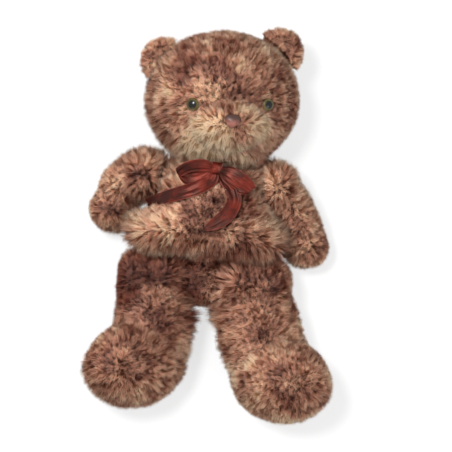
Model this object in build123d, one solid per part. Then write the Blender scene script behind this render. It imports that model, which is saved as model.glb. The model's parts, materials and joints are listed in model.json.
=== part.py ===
"""A jointed teddy bear: plush covers over stuffing, turned on five disc joints.

The bear lies on its back. X runs to its left side, Y from its feet to its head and Z up
through its belly. The origin is on the flat of its back. Sizes are in millimetres and
angles in degrees. Left and right are the bear's own.
"""

import os
from math import cos, pi, sin, sqrt

from build123d import *

# ---------------------------------------------------------------- covers and joints
COVER = 5.0  # plush fabric with its pressed pile
JOINT_GAP = 0.3  # between the two covers that turn on each other
POCKET_GAP = 0.3  # round hardware that is bedded in the stuffing
LAP_GAP = 1.5  # between a limb's round top and the hollow of the body that it nests in

LIMB_DISC_RADIUS = 15.0
DISC_MARGIN = 4.0  # flat cover left round a disc
PLATE = 2.0  # thickness of a disc
RIM = 1.4  # height and width of a disc's rim and ribs
DISC_RIBS = 6
RIB_LAP = 0.4  # how far a rib runs into the rim and the hub
POST_RADIUS = 4.0
POST_BORE = 1.6  # radius of the blind hole that cores out the post
POST_RUNNING = 0.08  # radial clearance of the post in the washer disc
HOLE_CLEARANCE = 0.6  # radial clearance of the post in the two covers
HUB_RADIUS = 7.0
HUB_HEIGHT = 1.5
LOCK_SEAT = 0.1  # running gap between the lock ring and the washer's hub
TOOTH_VALLEY = 1.5  # groove on the post that the lock ring's fingers spring into
TOOTH_PITCH = 2.0
TOOTH_DEPTH = 0.6
TEETH = 2
LOCK_RADIUS = 9.5  # star-shaped push-on lock ring
LOCK_THICKNESS = 0.5
LOCK_RISE = 0.8  # how far its fingers are dished towards the post's end
LOCK_FLAT = 3.0  # width of its flat outer ring
LOCK_GRIP = 0.1  # gap between its fingers and the post
LOCK_FINGERS = 8
FINGER_SLOT = 1.2

# ---------------------------------------------------------------- torso
BACK_PRESS = 1.5  # how far the soft back and head are pressed flat by their own weight
NECK_X = 6.0  # the neck leans a little to the bear's left
NECK_Y = 80.0
NECK_HEIGHT = 66.0
NECK_RADIUS = 26.5
NECK_DISC_RADIUS = NECK_RADIUS - COVER - 0.5
BELLY_HALF_WIDTH = 84.0
BELLY_HALF_DEPTH = 56.0
BELLY_HEIGHT = BELLY_HALF_DEPTH - BACK_PRESS
HIP_HALF_WIDTH = 20.0
HIP_Y = -54.0
HIP_HEIGHT = 40.0
PELVIS_RADIUS = 28.0
THIGH_RADIUS = 33.0  # the round top of a leg, which turns under the belly
SEAT_Y = HIP_Y + THIGH_RADIUS + 1.0
# Stations up the trunk: (X, Y, Z) of the middle, half-width, half-depth.
SEAT = ((0, SEAT_Y, 50), 74, 42)
LOWER_BELLY = ((0, SEAT_Y + 5, 53), 82, 50)
WIDEST = ((0, -5, BELLY_HEIGHT), BELLY_HALF_WIDTH, 55)
DEEPEST = ((0, 8, BELLY_HEIGHT), 78, BELLY_HALF_DEPTH)
UPPER_BELLY = ((0, 28, 54), 67, 55)
CHEST = ((1, 50, 53), 58, 50)
SHOULDERS = ((4, 64, 57.5), 48, 37)
COLLAR = (32, 29)
COLLAR_GAP = 1.0  # from the collar to the ribbon's band
COLLAR_DROP = 2.0  # its middle lies this far behind the neck's
CROTCH = (((0, -38, 43), 31), ((0, -5, 52), 45))  # its ridge: middle and half-depth
BOSS_START = 38.0  # how far out the shoulder bosses leave the chest
BOSS_TAPER = 0.4  # part of an inset that the bosses lose
STUMP_START = 60.0
SHOULDER_HALF_WIDTH = 52.0
SHOULDER_Y = 58.0
SHOULDER_HEIGHT = 45.0

# ---------------------------------------------------------------- limbs
# Middle lines as (out from the midline, Y, Z), from the joint to the paw or the foot.
ARM_LINES = {
    "left": ((70, 58, 45), (83, 49, 43), (98, 32, 38), (109, 10, 32)),
    "right": ((70, 58, 45), (83, 57, 43), (96, 47, 38), (104, 32, 33)),
}
TOP_SLOPE = 0.5  # a limb's round top widens over this part of its radius
TOP_ROUND = 0.5  # and is rounded off by this part of it
PAWS = {"left": (113.0, 1.0), "right": (107.0, 19.0)}
PAW_RADIUS = 28.0
PAW_HALF_DEPTH = 27.0
ARM_RADIUS = 29.0
ARM_HALF_WIDTH = 26.0
ARM_HALF_DEPTH = 25.0
ARM_OUTER = 95.0  # how far out the shoulder's round top closes
LEG_LINES = {
    "left": ((58, -54, 40), (63, -78, 41), (71, -104, 43), (84, -132, 47)),
    "right": ((57, -54, 40), (54, -78, 41), (53, -104, 43), (60, -132, 47)),
}
FEET = {"left": (96.0, -153.0), "right": (68.0, -149.0)}
LEG_SIZES = ((36, 29), (42, 32), (44, 33), (42, 34))  # half-width and half-depth down the leg
THIGH_OUTER = 96.0
FOOT_HALF_LENGTH = 60.0
FOOT_RADIUS = 46.0
FOOT_RISE = 40.0  # toes point this far up from the floor
FLOOR_GAP = 0.3  # under the paws and the heels

# ---------------------------------------------------------------- head
HEAD_HALF_WIDTH = 83.0
HEAD_HALF_HEIGHT = 76.0
HEAD_HALF_DEPTH = NECK_HEIGHT + BACK_PRESS
HEAD_Y = 150.0
HEAD_TILT = 6.0  # the face leans this far towards the bear's right shoulder
HEAD_YAW = 6.0  # and is turned this far towards its left
MUZZLE_HALF_WIDTH = 39.0
MUZZLE_HALF_HEIGHT = 27.0
MUZZLE_HALF_DEPTH = 34.0
MUZZLE_DOWN = 35.0
MUZZLE_OUT = 46.0
EAR_RADIUS = 26.0
EAR_HALF_DEPTH = 10.0
EARS = {"left": (62.0, 50.0), "right": (65.0, 39.0)}  # out and up; the right one sits lower
EAR_OUT = 6.0
EAR_CUP_RADIUS = 18.0
EAR_CUP = 5.0  # depth of the hollow in an ear's front
EYE_SIDE = 39.5
EYE_DOWN = 16.0
EYE_RADIUS = 7.0
EYE_BASE = 1.6  # black moulding that the clear lens is fused to
EYE_SINK = 1.0  # cut back to the head's curve
LENS_RISE = 4.0
SHANK_RADIUS = 1.9
SHANK_LENGTH = 12.0
SHANK_LAP = 0.5  # how far it runs up into the eye or the nose
SHANK_CLEARANCE = 0.3
WASHER_RADIUS = 6.0
WASHER = 1.0
WASHER_GRIP = 0.05  # gap between a washer's bore and its shank
WASHER_SLOTS = 6
WASHER_SLOT = 1.8  # length of a slot, twice its width
EYE_WASHER_DROP = 1.1
NOSE_WASHER_DROP = 2.0
NOSE_HALF_WIDTH = 9.5
NOSE_HALF_HEIGHT = 7.5
NOSE_CORNER = 4.0  # the two upper corners of its rounded triangle
NOSE_TIP = 3.0  # and the lower one
NOSE_RISE = 6.0
NOSE_EDGE = 2.5  # how deep its wall goes under the dome
NOSE_DOME = 1.3  # the dome is this much wider than the nose
NOSE_DOWN = 1.0  # below the muzzle's middle

# ---------------------------------------------------------------- ribbon
SATIN = 0.6  # folded ribbon
RIBBON_WIDTH = 15.0
BAND_RADIUS = NECK_RADIUS + 1.0
BAND_WIDTH = 5.0  # the ribbon is crushed narrow round the neck
KNOT_HALF_WIDTH = 9.0
KNOT_HALF_HEIGHT = 8.0
KNOT_HALF_DEPTH = 7.0
LOOP_LENGTH = 40.0
LOOP_DEPTH = 8.0
LOOP_RISE = 6.0  # the loops stand up from the knot's middle
LOOP_HEADINGS = {"left": -24.0, "right": 184.0}
TAIL_WIDTH = 11.0  # as the tails lie, a little folded along their length
RIGHT_TAIL_LENGTH = 60.0
RIGHT_TAIL_HEADING = 208.0
RIGHT_TAIL_TIP = 14.0  # length of its end, which falls over the side of the chest
RIGHT_TAIL_DROP = 5.5
TAIL_RISE = 0.6
LEFT_TAIL_RADIUS = 32.0  # the other tail curls round on the belly
LEFT_TAIL_START = 58.0
LEFT_TAIL_END = -95.0
LEFT_TAIL_SLOPE = 14.5
LEFT_TAIL_DOWN = 29.0  # from the knot to the middle of the curl
LEFT_TAIL_UP = 4.0

OUTWARD = {"left": 1, "right": -1}
SIZE = 1000.0  # larger than the whole bear


# ================================================================ forms
def oval(plane, half_width, half_height):
    """A flat oval face on a plane, drawn through eight points."""
    angles = [pi / 4 * i for i in range(8)]
    points = [(half_width * cos(a), half_height * sin(a)) for a in angles]
    return plane * make_face(Wire([Spline(*points, periodic=True)]))


def upright(centre, forward):
    """A standing plane that faces along a level direction, with its X axis level."""
    facing = Vector(forward.X, forward.Y, 0).normalized()
    return Plane(origin=centre, x_dir=facing.cross(Vector(0, 0, 1)), z_dir=facing)


def trunk(stations):
    """A solid lofted along Y through ovals: (X, Y, Z), half-width, half-height."""
    return loft([oval(upright(c, Vector(0, 1, 0)), w, h) for c, w, h in stations])


def tube(points, sizes):
    """A solid lofted through ovals that face along a line of points."""
    points = [Vector(*p) for p in points]
    faces = []
    for i, (width, height) in enumerate(sizes):
        ahead = points[min(i + 1, len(points) - 1)] - points[max(i - 1, 0)]
        faces.append(oval(upright(points[i], ahead), width, height))
    return loft(faces)


def ball(half_x, half_y, half_z):
    """A ball drawn out along the three axes."""
    return scale(Sphere(1), by=(half_x, half_y, half_z))


def above(height):
    """Everything above a level."""
    return Pos(0, 0, height + SIZE / 2) * Box(SIZE, SIZE, SIZE)


def beyond(distance, outward):
    """Everything further out from the midline than a distance, on one side."""
    return Pos(outward * (distance + SIZE / 2), 0, 0) * Box(SIZE, SIZE, SIZE)


def rod(radius, start, end, y, z, outward):
    """A round bar along X, from one distance out to another."""
    bar = Cylinder(radius, end - start, rotation=(0, 90, 0))
    return Pos(outward * (start + end) / 2, y, z) * bar


def round_top(start, outer, radius, y, z, outward):
    """The round top of a limb, turned about its joint: flat inside and blunt outside."""
    facet = LIMB_DISC_RADIUS + DISC_MARGIN
    slope = TOP_SLOPE * radius
    reach = outward * outer
    corners = [(outward * start, 0), (outward * start, facet)]
    corners += [(outward * (start + slope), radius), (reach, radius), (reach, 0)]
    profile = make_face(Polyline(*corners, close=True))
    rim = profile.vertices().sort_by_distance((reach, radius))[0]
    turned = revolve(fillet(rim, TOP_ROUND * radius), Axis.X)
    return Pos(0, y, z) * turned


# ================================================================ soft bodies
# Each is drawn at its surface, or everywhere deeper by an inset for the stuffing.
def torso_form(inset):
    """A pear-shaped trunk on a round pelvis, with a boss for each shoulder."""
    neck = NECK_Y - JOINT_GAP / 2 - inset
    collar = NECK_Y - BAND_WIDTH - COLLAR_GAP - inset
    lifted = [((x, y + inset, z), w, h) for (x, y, z), w, h in (SEAT, LOWER_BELLY)]
    stations = lifted + [WIDEST, DEEPEST, UPPER_BELLY, CHEST, SHOULDERS]
    stations += [((NECK_X, collar, NECK_HEIGHT - COLLAR_DROP), *COLLAR)]
    belly = trunk([(c, w - inset, h - inset) for c, w, h in stations])
    width = HIP_HALF_WIDTH - JOINT_GAP / 2 - inset
    ridge = (((0, HIP_Y, HIP_HEIGHT), PELVIS_RADIUS - 1), *CROTCH)
    crotch = trunk([(c, width - 1, h - inset) for c, h in ridge])
    pelvis = rod(PELVIS_RADIUS - inset, -width, width, HIP_Y, HIP_HEIGHT, 1)
    stump = Rot(-90, 0, 0) * disc(NECK_RADIUS - inset, STUMP_START, neck - STUMP_START)
    stump = Pos(NECK_X, 0, NECK_HEIGHT) * stump
    body = belly + crotch + pelvis + stump
    facet = LIMB_DISC_RADIUS + DISC_MARGIN
    reach = SHOULDER_HALF_WIDTH - JOINT_GAP / 2 - inset
    for outward in OUTWARD.values():
        boss = facet - BOSS_TAPER * inset
        body += rod(boss, BOSS_START - inset, reach, SHOULDER_Y, SHOULDER_HEIGHT, outward)
        hollow = ARM_RADIUS + LAP_GAP + inset
        body -= rod(hollow, reach, ARM_OUTER, SHOULDER_Y, SHOULDER_HEIGHT, outward)
    return body & above(inset)


def head_place():
    """The middle of the head, tilted and turned as the face is."""
    return Pos(NECK_X, HEAD_Y, NECK_HEIGHT) * Rot(0, HEAD_YAW, 0) * Rot(0, 0, HEAD_TILT)


def head_form(inset):
    """A wide ball with a muzzle, flat at the neck and where it lies."""
    skull = ball(HEAD_HALF_WIDTH - inset, HEAD_HALF_HEIGHT - inset, HEAD_HALF_DEPTH - inset)
    muzzle = ball(MUZZLE_HALF_WIDTH - inset, MUZZLE_HALF_HEIGHT - inset, MUZZLE_HALF_DEPTH - inset)
    both = skull + Pos(0, -MUZZLE_DOWN, MUZZLE_OUT) * muzzle
    neck = NECK_Y + JOINT_GAP / 2 + inset
    past_neck = Pos(0, neck + SIZE / 2, 0) * Box(SIZE, SIZE, SIZE)
    return head_place() * both & past_neck & above(inset)


def arm_form(side, inset):
    """A short arm: a round top, a bent tube and a blunt paw."""
    outward = OUTWARD[side]
    start = SHOULDER_HALF_WIDTH + JOINT_GAP / 2 + inset
    top = round_top(start, ARM_OUTER - inset, ARM_RADIUS - inset, SHOULDER_Y, SHOULDER_HEIGHT, outward)
    line = [(outward * x, y, z) for x, y, z in ARM_LINES[side]]
    sleeve = tube(line, [(ARM_HALF_WIDTH - inset, ARM_HALF_DEPTH - inset)] * len(line))
    x, y = PAWS[side]
    paw = ball(PAW_RADIUS - inset, PAW_RADIUS - inset, PAW_HALF_DEPTH - inset)
    arm = top + sleeve + Pos(outward * x, y, FLOOR_GAP + PAW_HALF_DEPTH) * paw
    return arm & beyond(start, outward)


def leg_form(side, inset):
    """A thick leg: a round thigh, a tube and a big foot that turns out."""
    outward = OUTWARD[side]
    start = HIP_HALF_WIDTH + JOINT_GAP / 2 + inset
    top = round_top(start, THIGH_OUTER - inset, THIGH_RADIUS - inset, HIP_Y, HIP_HEIGHT, outward)
    line = [(outward * x, y, z) for x, y, z in LEG_LINES[side]]
    calf = tube(line, [(w - inset, h - inset) for w, h in LEG_SIZES])
    x, y = FEET[side]
    foot = ball(FOOT_HALF_LENGTH - inset, FOOT_RADIUS - inset, FOOT_RADIUS - inset)
    rise = FOOT_RISE * pi / 180
    height = sqrt((FOOT_HALF_LENGTH * sin(rise)) ** 2 + (FOOT_RADIUS * cos(rise)) ** 2)
    placed = Pos(outward * x, y, FLOOR_GAP + height) * Rot(0, -outward * FOOT_RISE, 0) * foot
    clear = PELVIS_RADIUS + LAP_GAP + inset
    leg = top + calf + placed
    return leg - rod(clear, -start, start, HIP_Y, HIP_HEIGHT, 1)


# ================================================================ doll joints
# Each set is drawn along its own Z: from the limb, at Z < 0, through both covers and into
# the body, at Z > 0. Zero is the middle of the running gap between the covers.
FACE = JOINT_GAP / 2
DISC_SEAT = FACE + COVER  # where each disc bears on the inside of its cover
HUB_TOP = DISC_SEAT + PLATE + HUB_HEIGHT
LOCK_BASE = HUB_TOP + LOCK_SEAT
TEETH_START = LOCK_BASE + TOOTH_VALLEY
POST_END = TEETH_START + TEETH * TOOTH_PITCH


def disc(radius, start, height):
    """A round plate from one level up to another."""
    return Pos(0, 0, start + height / 2) * Cylinder(radius, height)


def ring(outer, inner, start, height):
    """A flat ring from one level up."""
    return disc(outer, start, height) - disc(inner, start, height)


def post_disc(radius):
    """The limb's moulded disc: a plate with ribs, and a toothed hollow post."""
    back = -DISC_SEAT - PLATE
    root = POST_RADIUS - TOOTH_DEPTH
    outline = [(POST_BORE, back - RIM), (HUB_RADIUS, back - RIM), (HUB_RADIUS, back)]
    outline += [(radius - RIM, back), (radius - RIM, back - RIM), (radius, back - RIM)]
    outline += [(radius, -DISC_SEAT), (POST_RADIUS, -DISC_SEAT), (POST_RADIUS, LOCK_BASE)]
    outline += [(root, LOCK_BASE)]
    for tooth in range(TEETH):
        foot = TEETH_START + tooth * TOOTH_PITCH
        outline += [(root, foot), (POST_RADIUS, foot)]
    outline += [(root, POST_END), (POST_BORE, POST_END)]
    profile = Plane.XZ * make_face(Polyline(*outline, close=True))
    turned = revolve(profile, Axis.Z)
    ribs = PolarLocations((HUB_RADIUS + radius - RIM) / 2, DISC_RIBS)
    bar = Box(radius - RIM - HUB_RADIUS + RIB_LAP, RIM, RIM)
    return turned + [Pos(0, 0, back - RIM / 2) * place * bar for place in ribs]


def washer_disc(radius):
    """The body's disc: a ribbed plate with a hub that the post runs through."""
    top = DISC_SEAT + PLATE
    bore = POST_RADIUS + POST_RUNNING
    outline = [(bore, DISC_SEAT), (radius, DISC_SEAT), (radius, top + RIM), (radius - RIM, top + RIM)]
    outline += [(radius - RIM, top), (HUB_RADIUS, top), (HUB_RADIUS, HUB_TOP), (bore, HUB_TOP)]
    profile = Plane.XZ * make_face(Polyline(*outline, close=True))
    turned = revolve(profile, Axis.Z)
    ribs = PolarLocations((HUB_RADIUS + radius - RIM) / 2, DISC_RIBS)
    bar = Box(radius - RIM - HUB_RADIUS + RIB_LAP, RIM, RIM)
    return turned + [Pos(0, 0, top + RIM / 2) * place * bar for place in ribs]


def lock_ring():
    """A star-shaped spring washer, its fingers dished into the post's groove."""
    tip = POST_RADIUS - TOOTH_DEPTH + LOCK_GRIP
    bend = LOCK_RADIUS - LOCK_FLAT
    rise = LOCK_RISE
    outline = [(LOCK_RADIUS, LOCK_BASE), (LOCK_RADIUS, LOCK_BASE + LOCK_THICKNESS)]
    outline += [(bend, LOCK_BASE + LOCK_THICKNESS), (tip, LOCK_BASE + LOCK_THICKNESS + rise)]
    outline += [(tip, LOCK_BASE + rise), (bend, LOCK_BASE)]
    profile = Plane.XZ * make_face(Polyline(*outline, close=True))
    star = revolve(profile, Axis.Z)
    slot = Box(bend - tip + RIB_LAP, FINGER_SLOT, 2 * TOOTH_PITCH)
    slots = PolarLocations((bend + tip - RIB_LAP) / 2, LOCK_FINGERS)
    return star - [Pos(0, 0, LOCK_BASE) * place * slot for place in slots]


def joint_place(centre, towards_body):
    """Where a joint's own Z, from limb to body, lies in the bear."""
    return Plane(origin=centre, x_dir=(0, 0, 1), z_dir=towards_body).location


def limb_pocket(radius):
    """The room that a limb's disc takes in the stuffing."""
    depth = PLATE + RIM + POCKET_GAP
    return disc(radius + POCKET_GAP, -DISC_SEAT - depth, depth)


def body_pocket(radius):
    """The room that a washer, its lock ring and the post's end take in the stuffing."""
    wide = disc(radius + POCKET_GAP, DISC_SEAT, PLATE + RIM + POCKET_GAP)
    depth = POST_END + POCKET_GAP - DISC_SEAT
    return wide + disc(LOCK_RADIUS + POCKET_GAP, DISC_SEAT, depth)


def post_hole():
    """The hole that the post needs in both covers."""
    return disc(POST_RADIUS + HOLE_CLEARANCE, -2 * DISC_SEAT, 4 * DISC_SEAT)


# ================================================================ face
def on_surface(place, side, up, centre, half_sizes):
    """A plane on the front of one of the head's balls, facing out."""
    a, b, c = half_sizes
    across = side - centre[0]
    along = up - centre[1]
    rise = c * sqrt(1 - (across / a) ** 2 - (along / b) ** 2)
    normal = Vector(across / a**2, along / b**2, rise / c**2)
    plane = Plane(origin=(side, up, centre[2] + rise), x_dir=(0, normal.Z, -normal.Y), z_dir=normal)
    return place * plane.location


def eye_lens():
    """The clear dome of a safety eye."""
    return Pos(0, 0, EYE_BASE) * ball(EYE_RADIUS, EYE_RADIUS, LENS_RISE) & above(EYE_BASE)


def eye_seat():
    """The black moulding behind the lens, before the head is cut from its underside."""
    return disc(EYE_RADIUS, -EYE_SINK, EYE_BASE + EYE_SINK)


def shank():
    """The stem that goes through the cover."""
    return disc(SHANK_RADIUS, -SHANK_LENGTH, SHANK_LENGTH + SHANK_LAP)


def shank_washer(drop):
    """The push-on washer on a shank, a little behind the cover because the cover curves."""
    top = -COVER - drop
    star = ring(WASHER_RADIUS, SHANK_RADIUS + WASHER_GRIP, top - WASHER, WASHER)
    slot = Box(WASHER_SLOT, WASHER_SLOT / 2, 3 * WASHER)
    slots = PolarLocations(SHANK_RADIUS + WASHER_SLOT / 2, WASHER_SLOTS)
    return star - [Pos(0, 0, top - WASHER / 2) * place * slot for place in slots]


def shank_pocket(drop):
    """The room that a shank and its washer take behind the cover."""
    deep = WASHER + drop + POCKET_GAP
    wide = disc(WASHER_RADIUS + POCKET_GAP, -COVER - deep, deep + EYE_SINK)
    return wide + disc(SHANK_RADIUS + SHANK_CLEARANCE, -SHANK_LENGTH - POCKET_GAP, SHANK_LENGTH)


def shank_hole():
    """The hole that a shank needs in the cover."""
    return disc(SHANK_RADIUS + SHANK_CLEARANCE, -2 * COVER, 3 * COVER)


def nose_dome():
    """A moulded nose: a domed triangle with round corners. The muzzle is cut from its back."""
    corner = NOSE_HALF_WIDTH - NOSE_CORNER, NOSE_HALF_HEIGHT - NOSE_CORNER
    rounds = [Pos(outward * corner[0], corner[1]) * Circle(NOSE_CORNER) for outward in (1, -1)]
    rounds += [Pos(0, NOSE_TIP - NOSE_HALF_HEIGHT) * Circle(NOSE_TIP)]
    outline = make_hull([edge for circle in rounds for edge in circle.edges()])
    block = extrude(Plane.XY.offset(-NOSE_EDGE) * outline, NOSE_EDGE + NOSE_RISE)
    swell = ball(NOSE_DOME * NOSE_HALF_WIDTH, NOSE_DOME * NOSE_HALF_WIDTH, NOSE_RISE)
    return block & (swell + disc(NOSE_DOME * NOSE_HALF_WIDTH, -NOSE_EDGE, NOSE_EDGE))


def ear_form(side):
    """A round ear with a hollow front, before the head is cut from it."""
    out, up = EARS[side]
    pad = ball(EAR_RADIUS, EAR_RADIUS, EAR_HALF_DEPTH)
    cup = Pos(0, 0, EAR_HALF_DEPTH) * ball(EAR_CUP_RADIUS, EAR_CUP_RADIUS, EAR_CUP)
    return head_place() * Pos(OUTWARD[side] * out, up, EAR_OUT) * (pad - cup)


# ================================================================ ribbon
def neck_band():
    """The ribbon round the neck, in the groove between head and shoulders."""
    band = ring(BAND_RADIUS, BAND_RADIUS - SATIN, 0, BAND_WIDTH)
    top = NECK_Y - JOINT_GAP - BAND_WIDTH
    return Pos(NECK_X, top, NECK_HEIGHT) * Rot(-90, 0, 0) * band


KNOT_Y = NECK_Y - JOINT_GAP - KNOT_HALF_HEIGHT
KNOT_Z = NECK_HEIGHT + BAND_RADIUS + KNOT_HALF_DEPTH


def knot():
    """The knot under the chin, resting on the band."""
    return Pos(NECK_X, KNOT_Y, KNOT_Z) * ball(KNOT_HALF_WIDTH, KNOT_HALF_HEIGHT, KNOT_HALF_DEPTH)


def bow_loop(side):
    """One loop of the bow: a flattened hoop of ribbon that starts at the knot."""
    outer = Ellipse(LOOP_LENGTH / 2, LOOP_DEPTH / 2)
    inner = Ellipse(LOOP_LENGTH / 2 - SATIN, LOOP_DEPTH / 2 - SATIN)
    hoop = extrude(Plane.XZ * (outer - inner), RIBBON_WIDTH / 2, both=True)
    middle = KNOT_HALF_WIDTH / 2 + LOOP_LENGTH / 2
    turn = Rot(0, 0, LOOP_HEADINGS[side])
    return Pos(NECK_X, KNOT_Y, KNOT_Z + LOOP_RISE) * turn * Pos(middle, 0, 0) * hoop


def right_tail():
    """The tail that hangs across the right side of the chest."""
    bend = RIGHT_TAIL_LENGTH - RIGHT_TAIL_TIP
    top = [(KNOT_HALF_WIDTH / 2, TAIL_RISE), (bend, 2 * TAIL_RISE), (RIGHT_TAIL_LENGTH, -RIGHT_TAIL_DROP)]
    bottom = [(x, z - SATIN) for x, z in reversed(top)]
    strip = Plane.XZ * make_face(Polyline(*top, *bottom, close=True))
    tail = extrude(strip, TAIL_WIDTH / 2, both=True)
    return Pos(NECK_X, KNOT_Y, KNOT_Z) * Rot(0, 0, RIGHT_TAIL_HEADING) * tail


def left_tail():
    """The tail that curls round on the left of the belly."""
    sweep = LEFT_TAIL_START - LEFT_TAIL_END
    strip = Pos(LEFT_TAIL_RADIUS, 0) * Rectangle(TAIL_WIDTH, SATIN)
    curl = revolve(Plane.XZ * strip, Axis.Z, sweep)
    centre = Pos(0, KNOT_Y - LEFT_TAIL_DOWN, KNOT_Z + LEFT_TAIL_UP)
    return centre * Rot(-LEFT_TAIL_SLOPE, 0, 0) * Rot(0, 0, LEFT_TAIL_END) * curl


# ================================================================ assembly
def joints():
    """Each joint's centre, the way to the body, and its disc's radius."""
    places = {"neck": ((NECK_X, NECK_Y, NECK_HEIGHT), (0, -1, 0), NECK_DISC_RADIUS)}
    for side, outward in OUTWARD.items():
        shoulder = (outward * SHOULDER_HALF_WIDTH, SHOULDER_Y, SHOULDER_HEIGHT)
        hip = (outward * HIP_HALF_WIDTH, HIP_Y, HIP_HEIGHT)
        places[side + "_shoulder"] = (shoulder, (-outward, 0, 0), LIMB_DISC_RADIUS)
        places[side + "_hip"] = (hip, (-outward, 0, 0), LIMB_DISC_RADIUS)
    return places


def limb(form, joint, shanks=()):
    """A limb's or the head's cover and stuffing, with room for its joint and shanks."""
    centre, inward, radius = joints()[joint]
    place = joint_place(centre, inward)
    stuffing = form(COVER)
    cover = form(0) - stuffing - place * post_hole()
    filling = stuffing - place * limb_pocket(radius)
    for spot, drop in shanks:
        cover -= spot * shank_hole()
        filling -= spot * shank_pocket(drop)
    return cover, filling


def build():
    """Every piece of the bear, by name."""
    nodes = {}
    stuffing = torso_form(COVER)
    cover = torso_form(0) - stuffing
    for name, (centre, inward, radius) in joints().items():
        place = joint_place(centre, inward)
        cover -= place * post_hole()
        stuffing -= place * body_pocket(radius)
        nodes[name + "_post_disc"] = place * post_disc(radius)
        nodes[name + "_washer_disc"] = place * washer_disc(radius)
        nodes[name + "_lock_ring"] = place * lock_ring()
    nodes["torso_cover"] = cover
    nodes["torso_filling"] = stuffing

    skull = (HEAD_HALF_WIDTH, HEAD_HALF_HEIGHT, HEAD_HALF_DEPTH)
    muzzle = (MUZZLE_HALF_WIDTH, MUZZLE_HALF_HEIGHT, MUZZLE_HALF_DEPTH)
    muzzle_centre = (0, -MUZZLE_DOWN, MUZZLE_OUT)
    nose_spot = on_surface(head_place(), 0, -NOSE_DOWN - MUZZLE_DOWN, muzzle_centre, muzzle)
    shanks = [(nose_spot, NOSE_WASHER_DROP)]
    head = head_form(0)
    for side, outward in OUTWARD.items():
        spot = on_surface(head_place(), outward * EYE_SIDE, -EYE_DOWN, (0, 0, 0), skull)
        shanks.append((spot, EYE_WASHER_DROP))
        nodes[side + "_eye_lens"] = spot * eye_lens()
        nodes[side + "_eye_shank"] = spot * eye_seat() - head + spot * shank()
        nodes[side + "_eye_washer"] = spot * shank_washer(EYE_WASHER_DROP)
        nodes[side + "_ear"] = ear_form(side) - head
        for part, form in (("arm", arm_form), ("leg", leg_form)):
            joint = side + ("_shoulder" if part == "arm" else "_hip")
            cover, filling = limb(lambda inset: form(side, inset), joint)
            nodes[f"{side}_{part}_cover"] = cover
            nodes[f"{side}_{part}_filling"] = filling
    nodes["head_cover"], nodes["head_filling"] = limb(head_form, "neck", shanks)
    nodes["nose"] = nose_spot * nose_dome() - head + nose_spot * shank()
    nodes["nose_washer"] = nose_spot * shank_washer(NOSE_WASHER_DROP)

    nodes["neck_ribbon"] = neck_band()
    nodes["bow_knot"] = knot()
    for side in OUTWARD:
        nodes[f"bow_{side}_loop"] = bow_loop(side) - knot()
    nodes["bow_right_tail"] = right_tail() - knot()
    nodes["bow_left_tail"] = left_tail() - knot()
    return nodes


if __name__ == "__main__":
    os.makedirs("parts", exist_ok=True)
    for name, piece in build().items():
        export_step(piece, f"parts/{name}.step")
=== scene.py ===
# %% [markdown]
# # A jointed teddy bear with a satin bow
#
# The bear lies on its back. Its covers, stuffing, joints, eyes and nose come from the packed
# CAD model, which this lesson never moves. What the lesson adds is the look: soft skins, a
# shaggy tipped pile that grows on them, a tied ribbon, a nose, and the finish of every part.
# Lengths are written in millimetres and turned into metres with MM.

# %% Setup
import json
import math
import random

import bmesh
import bpy
from mathutils import Matrix, Vector, noise

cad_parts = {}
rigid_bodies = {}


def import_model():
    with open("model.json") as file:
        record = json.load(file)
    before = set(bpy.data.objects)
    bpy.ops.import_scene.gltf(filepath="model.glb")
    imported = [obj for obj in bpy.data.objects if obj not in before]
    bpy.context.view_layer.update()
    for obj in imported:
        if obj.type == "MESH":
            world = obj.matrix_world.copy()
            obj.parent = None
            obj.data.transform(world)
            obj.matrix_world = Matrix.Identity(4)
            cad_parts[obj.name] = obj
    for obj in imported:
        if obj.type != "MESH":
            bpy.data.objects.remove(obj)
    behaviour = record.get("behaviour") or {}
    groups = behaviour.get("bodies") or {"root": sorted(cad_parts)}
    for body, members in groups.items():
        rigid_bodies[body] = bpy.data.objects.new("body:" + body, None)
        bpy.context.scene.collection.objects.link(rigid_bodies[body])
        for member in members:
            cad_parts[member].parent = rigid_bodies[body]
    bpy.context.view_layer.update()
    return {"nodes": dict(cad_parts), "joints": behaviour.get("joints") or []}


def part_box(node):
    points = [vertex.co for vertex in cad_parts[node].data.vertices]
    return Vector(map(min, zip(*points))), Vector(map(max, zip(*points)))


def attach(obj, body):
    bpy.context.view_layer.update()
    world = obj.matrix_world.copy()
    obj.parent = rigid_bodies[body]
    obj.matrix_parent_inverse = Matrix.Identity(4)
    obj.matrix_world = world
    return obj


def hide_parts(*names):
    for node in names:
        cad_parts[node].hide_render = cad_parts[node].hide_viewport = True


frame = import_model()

MM = 0.001
scene = bpy.context.scene

# %% [markdown]
# ## Camera
#
# The bear is seen from almost straight above its belly. The camera turns a few degrees about
# its own line of sight, so that the bear lies a little askew in the frame. The lens follows
# from how far away the camera is and how wide a stretch it should see there.

# %% Camera
LOOK_AT = Vector((21, 10, 55)) * MM
ELEVATION = 85.0
ROLL = 5.2
DISTANCE = 1.9
SEEN_WIDTH = 0.4975
SENSOR_WIDTH = 36.0
NEAREST = 0.1
FARTHEST = 20.0

camera = bpy.data.objects.new("camera", bpy.data.cameras.new("camera"))
scene.collection.objects.link(camera)
rise = math.radians(ELEVATION)
back = Vector((0, -math.cos(rise), math.sin(rise)))
camera.location = LOOK_AT + back * DISTANCE
aim = (-back).to_track_quat("-Z", "Y")
camera.rotation_mode = "QUATERNION"
camera.rotation_quaternion = aim @ Matrix.Rotation(math.radians(ROLL), 3, "Z").to_quaternion()
camera.data.sensor_width = SENSOR_WIDTH
camera.data.lens = SENSOR_WIDTH * DISTANCE / SEEN_WIDTH
camera.data.clip_start = NEAREST
camera.data.clip_end = FARTHEST
scene.camera = camera
print("lens, mm:", round(camera.data.lens, 1))

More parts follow.
